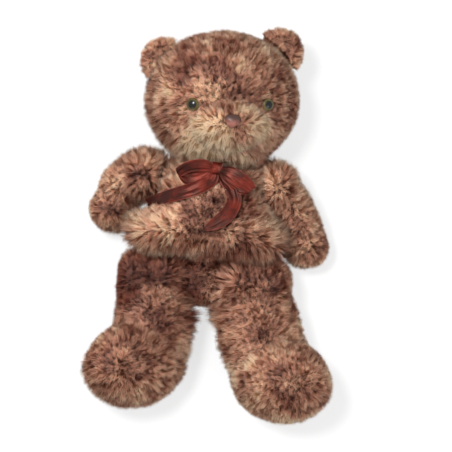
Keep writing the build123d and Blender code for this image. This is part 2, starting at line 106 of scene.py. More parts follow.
# %% [markdown]
# ## Finishes as expressions
#
# A material is a small piece of maths on where a point is. Wrapping a socket in a class that
# overloads the operators lets that maths be written as plain Python. Numbers go through Math
# nodes and vectors through Vector Math.

# %% Node maths
class Value:
    """A socket of a node graph that can be used in a sum."""

    def __init__(self, graph, socket):
        self.graph = graph
        self.socket = socket

    def math(self, operation, *values):
        return self.graph.node("ShaderNodeMath", {"operation": operation}, dict(enumerate(values)))[0]

    def __add__(self, other):
        return self.math("ADD", self, other)

    __radd__ = __add__

    def __sub__(self, other):
        return self.math("SUBTRACT", self, other)

    def __rsub__(self, other):
        return self.math("SUBTRACT", other, self)

    def __mul__(self, other):
        return self.math("MULTIPLY", self, other)

    __rmul__ = __mul__

    def __pow__(self, exponent):
        return self.math("POWER", self, exponent)

    def sine(self):
        return self.math("SINE", self)

    def absolute(self):
        return self.math("ABSOLUTE", self)

    def clamped(self):
        return self.math("MAXIMUM", self.math("MINIMUM", self, 1.0), 0.0)

    def ramp(self, low, high):
        """Zero at low, one at high, and smooth between."""
        settings = {"interpolation_type": "SMOOTHSTEP"}
        values = {"Value": self, "From Min": low, "From Max": high}
        return self.graph.node("ShaderNodeMapRange", settings, values)[0]

    def vector(self, operation, *values):
        """Vector Math on this socket and others: a vector, or a number for lengths and dots."""
        settings = {"operation": operation}
        made = self.graph.node("ShaderNodeVectorMath", settings, dict(enumerate((self, *values))))
        return made[1] if operation in ("LENGTH", "DOT_PRODUCT") else made[0]

    def scaled(self, factor):
        values = {0: self, "Scale": factor}
        return self.graph.node("ShaderNodeVectorMath", {"operation": "SCALE"}, values)[0]

    def split(self):
        return self.graph.node("ShaderNodeSeparateXYZ", {}, {0: self})


print("a socket can do:", [name for name in vars(Value) if not name.startswith("_")])

# %% [markdown]
# ## Graphs and finishes
#
# One method makes every node: it takes the node's type, its settings and what goes into its
# sockets. The world, the materials and the geometry nodes of the pile all use it. A Finish
# adds what most materials share: a Principled shader, the place of a point, noise, colour
# mixing and bump. Colours are given as screens write them and turned into linear light.

# %% Graphs and finishes
class Graph:
    """A node tree, and one method that makes any node in it."""

    def __init__(self, tree):
        self.tree = tree

    def node(self, kind, settings, values):
        """Makes a node, sets it, links or sets its sockets, and wraps its outputs."""
        made = self.tree.nodes.new(kind)
        for key, value in settings.items():
            setattr(made, key, value)
        for key, value in values.items():
            self.plug(made.inputs[key], value)
        return [Value(self, socket) for socket in made.outputs]

    def plug(self, socket, value):
        """Links a wrapped socket, or sets a plain value."""
        if isinstance(value, Value):
            self.tree.links.new(value.socket, socket)
        else:
            socket.default_value = value


class Finish(Graph):
    """A material, its Principled shader, and the nodes that feed it."""

    def __init__(self, name, **constants):
        self.material = bpy.data.materials.new(name)
        self.material.use_nodes = True
        super().__init__(self.material.node_tree)
        self.shader = self.tree.nodes["Principled BSDF"]
        for socket, value in constants.items():
            self.set(socket.replace("_", " "), value)

    def set(self, socket, value):
        self.plug(self.shader.inputs[socket], value)

    def place(self):
        """The point's place on its object, in metres."""
        return self.node("ShaderNodeTexCoord", {}, {})[3]

    def attribute(self, name):
        return self.node("ShaderNodeAttribute", {"attribute_name": name}, {})[2]

    def noise(self, scale, detail=3.0):
        values = {"Vector": self.place(), "Scale": scale, "Detail": detail, "Roughness": 0.55}
        return self.node("ShaderNodeTexNoise", {}, values)[0]

    def mix(self, factor, first, second):
        """A colour between two colours."""
        settings = {"data_type": "RGBA", "clamp_factor": True}
        return self.node("ShaderNodeMix", settings, {0: factor, 6: first, 7: second})[2]

    def bump(self, height, distance, strength):
        values = {"Height": height, "Distance": distance, "Strength": strength}
        self.set("Normal", self.node("ShaderNodeBump", {}, values)[0])


def rgb(red, green, blue):
    """A colour as screens write it, from 0 to 255, as the linear colour that shaders use."""
    def linear(part):
        part = part / 255
        return part / 12.92 if part <= 0.04045 else ((part + 0.055) / 1.055) ** 2.4
    return (linear(red), linear(green), linear(blue), 1)


print("a screen's middle grey in linear light:", round(rgb(128, 128, 128)[0], 3))

# %% [markdown]
# ## Lights
#
# One broad key light stands near the camera, as a flash with a diffuser would, and a dimmer
# light fills from the other side. Both aim at the belly. Area lights are used because their
# size gives the soft shadows of a studio.

# %% Lights
BELLY = Vector((0, 0, 0.05))


def area_light(name, place, size, power):
    """A round light at a place in metres that aims at the belly."""
    light = bpy.data.objects.new(name, bpy.data.lights.new(name, "AREA"))
    light.data.shape = "DISK"
    light.data.size = size
    light.data.energy = power
    light.location = place
    light.rotation_mode = "QUATERNION"
    light.rotation_quaternion = (BELLY - Vector(place)).to_track_quat("-Z", "Y")
    scene.collection.objects.link(light)
    print(name, power, "W")


area_light("key_light", (-0.55, 0.25, 1.9), size=0.5, power=35.0)
area_light("fill_light", (1.3, -0.9, 1.2), size=1.2, power=9.0)

# %% [markdown]
# ## Sky and floor
#
# The floor is plain white paper. Where it is seen directly or in a shiny surface it glows
# nearly white, so that only the bear's own shadow darkens it. Far from the bear it is as
# white as the sky, and the two run into each other. The light path tells these rays from the
# ones that light the bear, so the light that falls on the bear isn't changed by this.

# %% Sky and floor
WHITE = (1, 1, 1, 1)
SKY_LIGHT = 0.5
PAPER_COLOUR = (0.93, 0.93, 0.93, 1)
PAPER_GLOW = 0.7
FAR_START = 0.5
FAR_END = 1.5
FLOOR_REACH = 6.0


def seen_directly(graph):
    """One for the rays that show the picture: from the camera, by reflection or through glass."""
    rays = {ray.socket.name: ray for ray in graph.node("ShaderNodeLightPath", {}, {})}
    return (rays["Is Camera Ray"] + rays["Is Glossy Ray"] + rays["Is Transmission Ray"]).clamped()


world = bpy.data.worlds.new("studio")
scene.world = world
world.use_nodes = True
sky = Graph(world.node_tree)
sky_shader = world.node_tree.nodes["Background"]
sky.plug(sky_shader.inputs["Color"], WHITE)
sky.plug(sky_shader.inputs["Strength"], SKY_LIGHT + seen_directly(sky) * (1 - SKY_LIGHT))
scene.view_settings.view_transform = "Standard"

bm = bmesh.new()
bmesh.ops.create_grid(bm, x_segments=1, y_segments=1, size=FLOOR_REACH)
floor_mesh = bpy.data.meshes.new("floor")
bm.to_mesh(floor_mesh)
bm.free()
floor = bpy.data.objects.new("floor", floor_mesh)
scene.collection.objects.link(floor)

paper = Finish("paper", Roughness=0.9)
paper.set("Base Color", PAPER_COLOUR)
lit = Value(paper, paper.shader.outputs[0])
glowing = paper.node("ShaderNodeEmission", {}, {"Color": WHITE, "Strength": 1.0})[0]
far = paper.place().vector("LENGTH").ramp(FAR_START, FAR_END)
glow = seen_directly(paper) * (PAPER_GLOW + far * (1 - PAPER_GLOW))
surface = paper.node("ShaderNodeMixShader", {}, {0: glow, 1: lit, 2: glowing})[0]
paper.plug(paper.tree.nodes["Material Output"].inputs["Surface"], surface)
floor_mesh.materials.append(paper.material)
print("floor, m:", 2 * FLOOR_REACH, "square")

# %% [markdown]
# ## Helpers for new pieces
#
# Every new piece starts as a bmesh made of plain shapes. piece() turns it into an object at
# the origin, and settle() applies whatever modifiers finish it, so that nothing stays live.
# The joints are listed too, because a soft cover is made differently where it meets one.

# %% Helpers
def piece(name, bm, body):
    """A finished bmesh as an object that moves with a body."""
    mesh = bpy.data.meshes.new(name)
    bm.to_mesh(mesh)
    bm.free()
    made = bpy.data.objects.new(name, mesh)
    scene.collection.objects.link(made)
    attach(made, body)
    return made


def settle(thing):
    """Applies the modifiers of a piece to its mesh."""
    bpy.context.view_layer.update()
    evaluated = thing.evaluated_get(bpy.context.evaluated_depsgraph_get())
    finished = bpy.data.meshes.new_from_object(evaluated)
    finished.name = thing.name
    thing.modifiers.clear()
    thing.data = finished


def triangles(thing):
    return sum(len(face.vertices) - 2 for face in thing.data.polygons)


joints = {joint["name"]: joint for joint in frame["joints"]}
print("joints:", sorted(joints))

# %% [markdown]
# ## How skins are shaped
#
# A soft toy's cover is knitted cloth with the pile standing on it, blown tight by its
# stuffing. Under so deep a pile no seam or weave shows, so each skin is a smooth closed form.
# These helpers remesh a CAD solid into even squares, relax it, push every point along its
# normal, and say how near a point is to a joint's face.

# %% Skin helpers
JOINT_RADIUS = 23 * MM
JOINT_FADE = 6 * MM
JOINT_SLAB = 4 * MM
SLABS_REACHED = 1.5


def joint_nearness(point, body):
    """One at a joint face of this body, fading to zero away from it."""
    nearness = 0.0
    for joint in joints.values():
        if body in (joint["parent"], joint["child"]):
            axis = Vector(joint["axis"])
            gap = point - Vector(joint["pos_m"])
            along = gap.dot(axis)
            out = (gap - along * axis).length
            in_slab = SLABS_REACHED - abs(along) / JOINT_SLAB
            in_disc = (JOINT_RADIUS - out) / JOINT_FADE
            nearness = max(nearness, min(1, in_slab, in_disc))
    return nearness


def even_copy(name, body, node, voxel):
    """A copy of a CAD node as one closed skin of even squares."""
    bm = bmesh.new()
    bm.from_mesh(frame["nodes"][node].data)
    bmesh.ops.remove_doubles(bm, verts=bm.verts, dist=0.01 * MM)
    copy = piece(name, bm, body)
    remesh = copy.modifiers.new("one_skin", "REMESH")
    remesh.mode = "VOXEL"
    remesh.voxel_size = voxel
    settle(copy)
    copy.data.materials.clear()
    return copy


def relax(bm):
    bmesh.ops.smooth_vert(bm, verts=bm.verts, factor=0.5, use_axis_x=True, use_axis_y=True, use_axis_z=True)
    bm.normal_update()


def push(bm, distance):
    """Moves each point along its normal by what distance says of it, and relaxes the skin."""
    places = [vert.co + vert.normal * distance(vert) for vert in bm.verts]
    for vert, place in zip(bm.verts, places):
        vert.co = place
    relax(bm)


def write_skin(bm, skin):
    """Puts a shaped bmesh back into its skin."""
    bm.to_mesh(skin.data)
    bm.free()
    skin.data.shade_smooth()
    print(skin.name, len(skin.data.polygons), "faces")


# %% [markdown]
# ## The stuffed skins
#
# Each starts as a copy of the body's stuffing. It is blown up until it fills the CAD cover,
# and every point is then pressed a few millimetres back in, which leaves room for the pile.
# At a joint the skin stays close to the cover, because nothing grows there. Some bodies are
# slimmer on one side than their covers, so they are pressed in further on that side.

# %% Make the stuffed skins
BODIES = ("head", "torso", "left_arm", "right_arm", "left_leg", "right_leg")
VOXEL = 3.2 * MM
COVER_WALL = 5.0 * MM
SKIN_DEPTH = 6.8 * MM
JOINT_DEPTH = 1.0 * MM

# Which way a body is slimmer than its cover, and by how much at the most.
SLIMMER = {
    "head": Vector((0, 1, 0)) * 3 * MM,
    "left_arm": Vector((0.7, 0.7, 0)) * 4 * MM,
    "right_arm": Vector((0, -1, 0)) * 3 * MM,
    "right_leg": Vector((-1, 0.4, 0)) * 5 * MM,
}


def skin_depth(vert, body):
    """How far below its cover the skin of a body lies."""
    slimmer = max(0, vert.normal.dot(SLIMMER.get(body, Vector())))
    depth = SKIN_DEPTH + slimmer
    return depth + (JOINT_DEPTH - depth) * joint_nearness(vert.co, body)


def stuffed_skin(body):
    """The closed skin of one body, just inside its CAD cover."""
    skin = even_copy(body + "_skin", body, body + "_filling", VOXEL)
    cover = frame["nodes"][body + "_cover"]
    bm = bmesh.new()
    bm.from_mesh(skin.data)
    relax(bm)
    push(bm, lambda vert: COVER_WALL)
    for vert in bm.verts:
        vert.co = cover.closest_point_on_mesh(vert.co)[1]
    relax(bm)
    push(bm, lambda vert: -skin_depth(vert, body))
    write_skin(bm, skin)
    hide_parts(body + "_cover", body + "_filling")
    return skin


skins = {body: stuffed_skin(body) for body in BODIES}

# %% [markdown]
# ## The ears
#
# An ear is two layers of cover with little or no stuffing between them, cupped toward the
# front. It has no filling of its own, so its skin is made from the CAD ear itself: the same
# form, a few millimetres thinner all round.

# %% Make the ears
SIDES = ("left", "right")
EAR_VOXEL = 2 * MM
EAR_DEPTH = 3.2 * MM


def ear_skin(side):
    """The skin of one ear, just inside the CAD ear."""
    ear = even_copy(side + "_ear_skin", "head", side + "_ear", EAR_VOXEL)
    bm = bmesh.new()
    bm.from_mesh(ear.data)
    relax(bm)
    push(bm, lambda vert: -EAR_DEPTH)
    write_skin(bm, ear)
    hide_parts(side + "_ear")
    return ear


ears = {side: ear_skin(side) for side in SIDES}

# %% [markdown]
# ## Satin
#
# Satin shines because its warp threads float over the surface, and it shines in its own
# colour, so this finish is partly metallic with a reddish reflection. Fine threads cross it.
# Its edges are painted paler, a painted highlight where light would catch them, and its dark
# red is painted darker and lighter in broad random patches, a painted sheen and shade. The
# colour follows two numbers that every point of a ribbon keeps: how far along it lies, in
# millimetres, and how far across, from -1 to 1.

# %% Finish the satin
THREAD_TURNS = 9.0
# Where across the ribbon the painted edge highlight starts, and where it is full.
EDGE_HIGHLIGHT_START = 0.9
EDGE_HIGHLIGHT_END = 0.97

satin_finish = Finish("red_satin", Metallic=0.35, Roughness=0.42, Specular_Tint=(1, 0.58, 0.46, 1))
threads = (satin_finish.attribute("run") * THREAD_TURNS).sine()
# Painted sheen and shade: the red is painted darker and lighter in broad random patches.
painted_sheen_patches = satin_finish.noise(55.0).ramp(0.38, 0.66)
satin_red_and_sheen = satin_finish.mix(painted_sheen_patches, rgb(44, 10, 7), rgb(98, 27, 18))
# Painted highlight: the edges are painted paler and pinker, where light would catch them.
painted_edge_highlight = satin_finish.attribute("across").absolute().ramp(EDGE_HIGHLIGHT_START, EDGE_HIGHLIGHT_END)
satin_finish.set("Base Color", satin_finish.mix(painted_edge_highlight * 0.5, satin_red_and_sheen, rgb(170, 84, 70)))
satin_finish.bump(threads * 0.4 + satin_finish.noise(700.0), 0.1 * MM, 0.4)
print("satin threads per mm:", round(THREAD_TURNS / (2 * math.pi), 1))

# %% [markdown]
# ## How a ribbon is laid
#
# One length of satin ribbon goes round the neck and is tied in a bow. Each part of it is a
# flat grid, as the ribbon is, and its rows are then moved: every part is drawn by a few rows
# that say where the ribbon's middle is and how its half-width points there, with a smooth
# curve through them. Noise folds it a little, and a thin wall makes it cloth.

# %% Ribbon helpers
RIBBON_THICKNESS = 0.3 * MM
RIBBON_STEPS = 60
RIBBON_STRIPES = 20
AHEAD = 0.02
WIDE_FOLD = 1.3
FINE_FOLD = 0.4
FOLDING_WIDTH = 6
PLEATS = 5
PLACES_KEPT = 12

# Places along the ribbon, so that the pile can be kept short under it.
ribbon_places = []


def between(rows, part):
    """A smooth curve through rows of vectors, at a part of its length from 0 to 1."""
    place = min(part, 0.9999) * (len(rows) - 1)
    at = int(place)
    t = place - at
    before, start, end, after = (rows[min(max(at + k, 0), len(rows) - 1)] for k in (-1, 0, 1, 2))
    slope = end - before
    bend = 2 * before - 5 * start + 4 * end - after
    twist = 3 * start - before - 3 * end + after
    return 0.5 * (2 * start + slope * t + bend * t * t + twist * t ** 3)


def folds(part, side, seed):
    """How far the cloth is lifted by its folds, in millimetres."""
    wide = noise.noise(Vector((part * 3, side * 2.2, seed)))
    fine = noise.noise(Vector((part * 10, side * 5, seed)))
    return WIDE_FOLD * wide + FINE_FOLD * fine


def ribbon(name, rows, cad_node, flat_length, creases, closed=False, pleat=0.0):
    """A strip of ribbon through rows of (middle, half-width), in millimetres."""
    middles, halves = zip(*rows)
    # The name's length picks the folds, so the left part and the right part differ.
    seed = len(name)
    bm = bmesh.new()
    bmesh.ops.create_grid(bm, x_segments=RIBBON_STEPS, y_segments=RIBBON_STRIPES, size=0.5)
    across = bm.verts.layers.float.new("across")
    run = bm.verts.layers.float.new("run")
    for vert in bm.verts:
        part = vert.co.x + 0.5
        side = vert.co.y * 2
        half = between(halves, part)
        ahead = between(middles, min(1, part + AHEAD)) - between(middles, max(0, part - AHEAD))
        out = ahead.cross(half).normalized()
        fold = folds(part, side, seed) * creases * min(1, half.length / FOLDING_WIDTH)
        fold += pleat * math.sin(side * PLEATS * math.pi)
        vert[across] = side
        vert[run] = part * flat_length
        vert.co = (between(middles, part) + half * side + out * fold) * MM
    ribbon_places.extend(between(middles, k / PLACES_KEPT) * MM for k in range(PLACES_KEPT + 1))
    if closed:
        bmesh.ops.remove_doubles(bm, verts=bm.verts, dist=0.05 * MM)
    strip = piece(name, bm, "torso")
    wall = strip.modifiers.new("wall", "SOLIDIFY")
    wall.thickness = RIBBON_THICKNESS
    wall.offset = 0
    settle(strip)
    strip.data.shade_smooth()
    strip.data.materials.append(satin_finish.material)
    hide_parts(cad_node)
    print(name, len(strip.data.polygons), "faces")


# %% [markdown]
# ## The bow's loops
#
# A loop leaves the knot, swells, turns over at its far end and comes back under itself. Its
# rows are placed from the knot, by a distance and a heading seen from above, so that a whole
# loop swings with one number.

# %% Make the loops
LEFT_LOOP = -27.0
RIGHT_LOOP = 190.0

# Each row: distance from the knot, swing off the loop's heading and height; then how far the
# row is turned from square, its half-width, and its tilt.
LEFT_LOOP_ROWS = (
    (3, 0, 3, 0, 3.5, 0),
    (15, 6, 9, 0, 8, 0),
    (31, 3, 9, -8, 8.5, 0),
    (44, -1, 4, -20, 6, 0),
    (33, -5, -1, -8, 8, 0),
    (16, -6, 0, 0, 7, 0),
    (3, 0, 0, 0, 3.5, 0),
)
RIGHT_LOOP_ROWS = (
    (3, 0, 3, 0, 3.5, 0),
    (14, -15, 10, 0, 7, -30),
    (30, -6, 11, 12, 7, -35),
    (43, 4, 6, 20, 6, -30),
    (33, 15, 0, 10, 8.5, -6),
    (17, 26, 0, 0, 8, -6),
    (3, 0, 0, 0, 3.5, 0),
)

knot_low, knot_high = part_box("bow_knot")
knot = (knot_low + knot_high) / 2 / MM + Vector((0, -5, 3))


def from_knot(distance, heading, up):
    """A place this far from the knot, on a heading in degrees from the bear's left side."""
    way = math.radians(heading)
    return knot + Vector((distance * math.cos(way), distance * math.sin(way), up))


def square_to(heading, half, tilt):
    """A half-width vector square to a heading, with one edge tilted up."""
    way = math.radians(heading + 90)
    lean = math.radians(tilt)
    flat = math.cos(lean)
    return Vector((math.cos(way) * flat, math.sin(way) * flat, math.sin(lean))) * half


def loop_rows(heading, table):
    """The rows of a loop that leaves the knot on a heading."""
    return [(from_knot(distance, heading + swing, up), square_to(heading + turn, half, tilt))
            for distance, swing, up, turn, half, tilt in table]


left_loop_rows = loop_rows(LEFT_LOOP, LEFT_LOOP_ROWS)
right_loop_rows = loop_rows(RIGHT_LOOP, RIGHT_LOOP_ROWS)
ribbon("bow_left_loop_satin", left_loop_rows, "bow_left_loop", 92, 0.9)
ribbon("bow_right_loop_satin", right_loop_rows, "bow_right_loop", 90, 1.2)

# %% [markdown]
# ## The bow's tails
#
# The tails leave the knot and lie on the pile. Their heights are measured: a ray from above
# finds the body's skin, and the bed of pressed pile is added to that.

# %% Make the tails
PILE_BED = 8.0
SKY_HEIGHT = 400
BESIDE_BODY = 60.0
TAIL_START = 4
PINCHED_HALF_WIDTH = 4
LEFT_TAIL = -60
RIGHT_TAIL = -110

# Each row: its place on the body and height above the bed; then its heading, half-width, tilt.
LEFT_TAIL_ROWS = (
    (15, 57, 2, -55, 7.5, 0),
    (25, 44, 1, -70, 8, 0),
    (27, 30, 1, -100, 8, 6),
    (20, 16, 1, -130, 8, 8),
    (9, 6, 0, -145, 6.5, 5),
    (-1, 0, 0, -150, 2.5, 0),
)
RIGHT_TAIL_ROWS = (
    (1, 54, 3, -130, 7, 0),
    (-13, 44, 2, -158, 8, 15),
    (-31, 37, 2, -161, 8, 20),
    (-50, 31, 2, -161, 7.5, 20),
    (-67, 26, 1, -150, 6, 10),
)


def bed(x, y):
    """How high, in millimetres, the top of the pressed pile is at a place on the body."""
    hit, point, _, _ = skins["torso"].ray_cast(Vector((x, y, SKY_HEIGHT)) * MM, Vector((0, 0, -1)))
    return point.z / MM + PILE_BED if hit else BESIDE_BODY


def tail_rows(heading, table):
    """The rows of a tail that leaves the knot on a heading and then lies on the body."""
    rows = [(from_knot(TAIL_START, heading, 0), square_to(heading, PINCHED_HALF_WIDTH, 0))]
    for x, y, above, turned, half, tilt in table:
        rows.append((Vector((x, y, bed(x, y) + above)), square_to(turned, half, tilt)))
    return rows


left_tail_rows = tail_rows(LEFT_TAIL, LEFT_TAIL_ROWS)
right_tail_rows = tail_rows(RIGHT_TAIL, RIGHT_TAIL_ROWS)
ribbon("bow_left_tail_satin", left_tail_rows, "bow_left_tail", 84, 0.9)
ribbon("bow_right_tail_satin", right_tail_rows, "bow_right_tail", 82, 1.0)

# %% [markdown]
# ## Knot and neck band
#
# Both go once round: the knot round the crossing of the bow, and the band round the neck,
# where the ribbon is drawn together in pleats. Their rows come from a circle's angles, and
# the ends are merged.

# %% Make the knot and the band
KNOT_LONG = 6.5
KNOT_DEEP = 5
KNOT_HALF_WIDTH = 5.5
KNOT_ROWS = 8
BAND_HALF_WIDTH = 2.4
BAND_ROWS = 24
BAND_PLEAT = 0.75


def once_round(count):
    """Angles once round, with the first again at the end."""
    return [2 * math.pi / count * k for k in range(count + 1)]


knot_rows = []
for angle in once_round(KNOT_ROWS):
    out = Vector((0, math.sin(angle) * KNOT_LONG, math.cos(angle) * KNOT_DEEP))
    knot_rows.append((knot + out, Vector((KNOT_HALF_WIDTH, 0, 0))))
ribbon("bow_knot_satin", knot_rows, "bow_knot", 30, 0.8, closed=True)

band_low, band_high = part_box("neck_ribbon")
band_middle = (band_low + band_high) / 2 / MM
band_radius = (band_high.x - band_low.x) / 2 / MM
band_length = 2 * math.pi * band_radius
band_rows = []
for angle in once_round(BAND_ROWS):
    out = Vector((math.sin(angle), 0, math.cos(angle))) * band_radius
    band_rows.append((band_middle + out, Vector((0, BAND_HALF_WIDTH, 0))))
ribbon("neck_band_satin", band_rows, "neck_ribbon", band_length, 0.3,
       closed=True, pleat=BAND_PLEAT)

# %% [markdown]
# ## One tuft of pile
#
# The pile is not a texture: it is grown as many thousands of small tufts. A tuft is a handful
# of flat tapering hairs that start apart and lean a little together. Each hair is a strip two
# faces long whose last edge is merged to a point. Its points remember how far along the hair
# they are, which side of it they are on, and how dark that hair is beside its neighbours.

# %% Make the tuft
HAIRS = 7
HAIR_WIDTH = 0.58
TUFT_RADIUS = 1.75
TURN_PER_HAIR = 2.4
TURN_SPREAD = 0.4
DRIFT = 0.9
GATHER = 0.15
SHORTEST = 0.72
TAPER = 1.6
CURL = 1.7


def tuft():
    """Hairs of height one, and of width and spread in millimetres."""
    dice = random.Random(4)
    bm = bmesh.new()
    along = bm.verts.layers.float.new("along")
    edge = bm.verts.layers.float.new("edge")
    own_tone = bm.verts.layers.float.new("own_tone")
    for hair in range(HAIRS):
        strip = bmesh.ops.create_grid(bm, x_segments=1, y_segments=2, size=0.5)["verts"]
        turn = hair * TURN_PER_HAIR + dice.uniform(-TURN_SPREAD, TURN_SPREAD)
        out = TUFT_RADIUS * math.sqrt((hair + 0.5) / HAIRS)
        root = Vector((math.cos(turn), math.sin(turn), 0)) * out
        drift = Vector((dice.uniform(-DRIFT, DRIFT), dice.uniform(-DRIFT, DRIFT), 0)) - root * GATHER
        height = dice.uniform(SHORTEST, 1.0)
        facing = Matrix.Rotation(dice.uniform(0, math.pi), 3, "Z")
        tone = dice.uniform(-1, 1)
        for vert in strip:
            up = vert.co.y + 0.5
            vert[along] = up
            vert[edge] = 0.0 if up > 0.9 else math.copysign(1.0, vert.co.x)
            vert[own_tone] = tone
            width = HAIR_WIDTH * (1.0 - up ** TAPER)
            flat = facing @ Vector((vert.co.x * width, 0, 0))
            vert.co = flat + root + drift * up ** CURL + Vector((0, 0, up * height))
    bmesh.ops.remove_doubles(bm, verts=bm.verts, dist=0.001)
    mesh = bpy.data.meshes.new("tuft")
    bm.to_mesh(mesh)
    bm.free()
    mesh.shade_smooth()
    return bpy.data.objects.new("tuft", mesh)


tuft_shape = tuft()
print("a tuft has", triangles(tuft_shape), "triangles")

# %% [markdown]
# ## What the skins tell the pile
#
# Before the pile grows, each point of a skin is told three things: how long the pile is
# there, how densely it grows and how pale it is. Soft noise varies the length, as handling
# does. It also varies the paleness in patches that are partly the pile's own tone and partly
# a painted sheen, for pile that lies different ways to the light. Where a skin faces
# sideways its pile is painted paler, a painted rim light. The pile is thinner where a skin
# faces the floor, and none grows on a joint's face, which keeps the joints free to turn.

# %% Pile helpers
PILE_LENGTH = 14.5 * MM
TUFTS_PER_SQUARE_METRE = 435000
UNDERSIDE_SHARE = 0.35
EAR_DENSITY = 2.2
LENGTH_SPREAD = 0.18
LENGTH_PATCH = 13 * MM
# Patches of tone, partly a painted sheen: their size, and the seed of their noise.
TONE_AND_SHEEN_PATCHES = ((24 * MM, 5), (9 * MM, 9))


def smooth_noise(point, size, seed=0.0):
    return noise.noise(point / size + Vector((seed, seed * 1.7, -seed)))


def fade(value, low, high):
    """Zero up to low, one from high, and smooth between."""
    part = min(1, max(0, (value - low) / (high - low)))
    return part * part * (3 - 2 * part)


def near(point, places, inner, outer):
    """One within inner millimetres of the nearest of some places, and zero beyond outer."""
    nearest = min((point - place).length for place in places)
    return 1 - fade(nearest, inner * MM, outer * MM)


def density(body, point, normal, bare):
    """How many tufts grow on a square metre here."""
    off_floor = fade(normal.z, -0.9, -0.1)
    growth = (UNDERSIDE_SHARE + (1 - UNDERSIDE_SHARE) * off_floor) * (1 - bare)
    if body in skins:
        growth = growth * (1 - fade(joint_nearness(point, body), 0.2, 0.7))
    else:
        growth = growth * EAR_DENSITY
    return growth * TUFTS_PER_SQUARE_METRE


def tell(body, skin, length, paleness, bare=lambda point: 0.0, rim=0.15):
    """Stores the three pile attributes on a skin, from functions of a point."""
    mesh = skin.data
    names = ("length", "growth", "paleness")
    # All are made before any is filled, since a new attribute makes older references stale.
    for name in names:
        mesh.attributes.new(name, "FLOAT", "POINT")
    lengths, growths, palenesses = [mesh.attributes[name].data for name in names]
    for vert in mesh.vertices:
        point = vert.co
        normal = vert.normal
        uneven = 1 + LENGTH_SPREAD * smooth_noise(point, LENGTH_PATCH)
        # Patches of paleness: partly the pile's own tone, partly painted sheen.
        patches = sum(0.5 * smooth_noise(point, size, seed) for size, seed in TONE_AND_SHEEN_PATCHES)
        # Painted rim light: the pile is painted paler where the skin faces sideways.
        patches += rim * (1 - abs(normal.z))
        lengths[vert.index].value = PILE_LENGTH * length(point) * uneven
        growths[vert.index].value = density(body, point, normal, bare(point))
        palenesses[vert.index].value = paleness(point) + patches
    mean_length = sum(item.value for item in lengths) / len(lengths)
    print(skin.name, "pile, mm:", round(mean_length / MM, 1))


# %% [markdown]
# ## The pile of the head
#
# The pile is short round the nose and the eyes, longest under the chin, and bare where an eye
# or the nose sits. Years of handling have rubbed the face pale in patches, the largest of
# them beside the nose.

# %% Tell the head
FACE_BASE = 0.33

# Where the face is rubbed pale: right and up from the nose in millimetres, radius, paleness.
PALE_PLACES = (
    (-25, -15, 27, 0.8),
    (2, -26, 15, 0.4),
    (27, 2, 16, 0.5),
    (-28, 29, 15, 0.34),
    (8, 14, 14, 0.34),
    (14, 70, 22, 0.22),
)


def middle_of(node):
    low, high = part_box(node)
    return (low + high) / 2


head_centre = middle_of("head_cover")
nose_place = middle_of("nose")
eye_places = [middle_of(side + "_eye_lens") for side in SIDES]
# The bare place of the left eye is off its middle, so that pile covers the eye's inner edge.
bare_places = [eye_places[0] + Vector((3.2, 1.5, 0)) * MM, eye_places[1]]


def face_paleness(point):
    palest = 0.0
    for right, up, radius, paleness in PALE_PLACES:
        out = Vector((point.x - nose_place.x - right * MM, point.y - nose_place.y - up * MM)).length
        palest = max(palest, paleness * (1 - fade(out, 0.5 * radius * MM, 1.3 * radius * MM)))
    return FACE_BASE + palest * fade(point.z, head_centre.z, head_centre.z + 20 * MM)


def head_length(point):
    out = (point - head_centre) / (70 * MM)
    crown = fade(out.y, 0.4, 1)
    left_side = fade(out.x, 0.5, 1)
    right_cheek = fade(-out.x, 0.3, 0.9) * fade(-out.y, 0, 0.5)
    chin = fade(nose_place.y - point.y, 12 * MM, 26 * MM) * fade(point.z, 50 * MM, 75 * MM)
    length = 0.92 - 0.3 * crown - 0.25 * left_side + 0.15 * right_cheek + 0.4 * chin
    return length - 0.35 * near(point, bare_places, 6, 14) - 0.45 * near(point, [nose_place], 8, 22)


def head_bare(point):
    return max(near(point, bare_places, 4.2, 6.8), near(point, [nose_place], 7, 10))


tell("head", skins["head"], head_length, face_paleness, head_bare)

# %% [markdown]
# ## The pile of the torso
#
# The pile is long at the front of the belly's lower edge, where it hides the gap above the
# thighs, and pressed short where the ribbon lies on it. One side of the belly is paler. Along
# the belly's lower edge and the crotch the pile is painted darker, a painted shade where the
# belly meets the thighs.

# %% Tell the torso
PALE_SIDE = Vector((-52, -8, 90)) * MM
NECK_X = 6 * MM


def brow(point):
    """One along the belly's lower edge and the crotch."""
    return 1 - fade(point.y, -20 * MM, -2 * MM)


def torso_paleness_and_shade(point):
    # Painted shade: the belly's lower edge and the crotch are painted darker.
    return 0.4 + 0.26 * near(point, [PALE_SIDE], 12, 42) - 0.36 * brow(point)


def torso_length(point):
    shoulder = fade(point.y, 50 * MM, 64 * MM) * fade(abs(point.x - NECK_X), 22 * MM, 34 * MM)
    overhang = brow(point) * fade(point.z, 66 * MM, 80 * MM)
    low_on_belly = 1 - fade(point.y, 0, 20 * MM)
    corner = low_on_belly * fade(abs(point.x), 30 * MM, 50 * MM) * fade(point.z, 40 * MM, 60 * MM)
    length = 0.9 + 0.6 * max(overhang, corner) - 0.45 * (brow(point) - overhang) + 0.5 * shoulder
    return length * (1 - 0.6 * near(point, ribbon_places, 8, 18))


tell("torso", skins["torso"], torso_length, torso_paleness_and_shade, rim=0.05)

# %% [markdown]
# ## The pile of the limbs and ears
#
# A limb's pile is longer on its inner side and over the hip, and it grows paler toward the
# foot. The left leg is painted paler all over, a painted light on its thigh top, which lies in
# the belly's shade. An ear's pile is short and dense.

# %% Tell the limbs and ears
EAR_LENGTH = 0.52
EAR_PALENESS = 0.55

